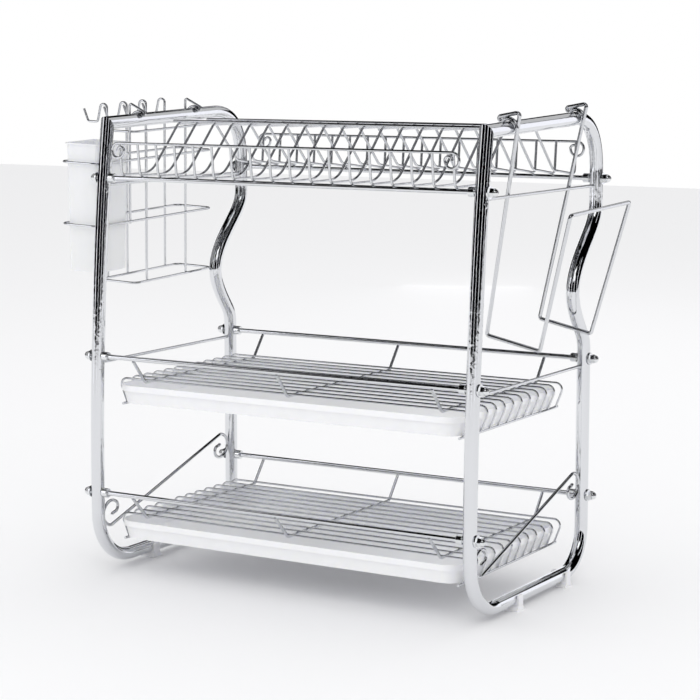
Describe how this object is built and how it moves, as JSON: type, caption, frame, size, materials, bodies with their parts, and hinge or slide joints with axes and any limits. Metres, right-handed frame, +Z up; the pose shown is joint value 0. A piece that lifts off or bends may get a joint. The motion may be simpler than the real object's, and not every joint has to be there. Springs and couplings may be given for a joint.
{
  "type": "dish drying rack",
  "caption": "Free-standing tiered dish drying rack of chromed tube and wire with a plate row, wire decks over slide-out drip trays, a hung cutlery cage with cup and a hung cutting-board slot.",
  "frame": {"origin": "centre of the whole rack's footprint, on the surface it stands on", "axes": "+Z up, +X to the right seen from the front, -Y towards the front, the side the drip trays slide out of"},
  "size_m": [0.6925, 0.3376, 0.5745],
  "materials": {
    "chromed_tube": "polished chrome plate on bent steel tube",
    "chromed_rod": "polished chrome plate on steel rod",
    "chromed_wire": "polished chrome plate on steel wire",
    "plated_nuts": "bright plated steel",
    "tray_plastic": "milky white semi-gloss moulded plastic",
    "cup_plastic": "milky white semi-gloss moulded plastic",
    "foot_plastic": "white moulded plastic"
  },
  "bodies": {
    "rack": {"front_guard_wire": "chromed_wire", "front_left_foot": "foot_plastic", "front_ridge_wire": "chromed_wire", "front_right_foot": "foot_plastic", "left_cap_nuts": "plated_nuts", "left_collar_nuts": "plated_nuts", "left_scroll_brace": "chromed_wire", "left_side_frame": "chromed_tube", "left_side_wires": "chromed_wire", "lower_cross_hangers": "chromed_wire", "lower_deck_wires": "chromed_wire", "lower_front_rod": "chromed_rod", "lower_rear_rod": "chromed_rod", "lower_tray_rails": "chromed_wire", "middle_cross_hangers": "chromed_wire", "middle_deck_wires": "chromed_wire", "middle_front_rod": "chromed_rod", "middle_rear_rod": "chromed_rod", "middle_tray_rails": "chromed_wire", "plate_dividers": "chromed_wire", "rear_guard_wire": "chromed_wire", "rear_left_foot": "foot_plastic", "rear_ridge_wire": "chromed_wire", "rear_right_foot": "foot_plastic", "right_cap_nuts": "plated_nuts", "right_collar_nuts": "plated_nuts", "right_scroll_brace": "chromed_wire", "right_side_frame": "chromed_tube", "right_side_wires": "chromed_wire", "top_front_rod": "chromed_rod", "top_rear_rod": "chromed_rod"},
    "middle_tray": {"middle_drip_tray": "tray_plastic"},
    "lower_tray": {"lower_drip_tray": "tray_plastic"},
    "cutlery_cage": {"cage_cup_hooks": "chromed_wire", "cage_hangers": "chromed_wire", "cage_hoops": "chromed_wire", "cage_strut": "chromed_wire"},
    "cutlery_cup": {"cutlery_cup": "cup_plastic"},
    "board_holder": {"board_holder": "chromed_wire"}
  },
  "joints": [
    {"name": "middle_tray_slide", "type": "slide", "parent": "rack", "child": "middle_tray", "axis": [0, -1, 0], "range_m": [0, 0.29]},
    {"name": "lower_tray_slide", "type": "slide", "parent": "rack", "child": "lower_tray", "axis": [0, -1, 0], "range_m": [0, 0.29]},
    {"name": "cage_lift_off", "type": "slide", "parent": "rack", "child": "cutlery_cage", "axis": [0, 0, 1], "range_m": [0, 0.25]},
    {"name": "cup_lift_out", "type": "slide", "parent": "cutlery_cage", "child": "cutlery_cup", "axis": [0.0349, -0.0331, 0.9988], "range_m": [0, 0.18]},
    {"name": "board_holder_lift", "type": "slide", "parent": "rack", "child": "board_holder", "axis": [0.2027, -0.0325, 0.9787], "range_m": [0, 0.12]}
  ]
}
